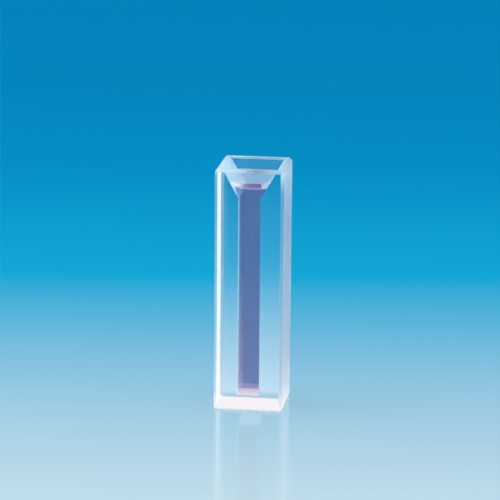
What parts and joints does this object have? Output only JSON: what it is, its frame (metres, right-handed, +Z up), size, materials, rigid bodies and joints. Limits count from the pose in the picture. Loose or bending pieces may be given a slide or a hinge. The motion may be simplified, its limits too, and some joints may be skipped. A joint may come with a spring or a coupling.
{
  "type": "cuvette",
  "caption": "Square semi-micro cuvette with polished windows, ground sides, a narrow channel and a funnel mouth, part filled, which holds a liquid sample in a light beam.",
  "frame": {"origin": "centre of the bottom face", "axes": "+Z up through the mouth, Y along the light path from the front window (-Y) to the rear window (+Y), X across the side blocks"},
  "size_m": [0.0126, 0.0126, 0.045],
  "materials": {
    "window_glass": "polished clear fused silica with ground arrises",
    "block_glass": "clear fused silica with finely ground outer faces",
    "sample": "clear violet liquid"
  },
  "bodies": {
    "root": {"front_window": "window_glass", "rear_window": "window_glass", "left_side_block": "block_glass", "right_side_block": "block_glass", "base_plate": "block_glass", "sample_liquid": "sample"}
  },
  "joints": []
}
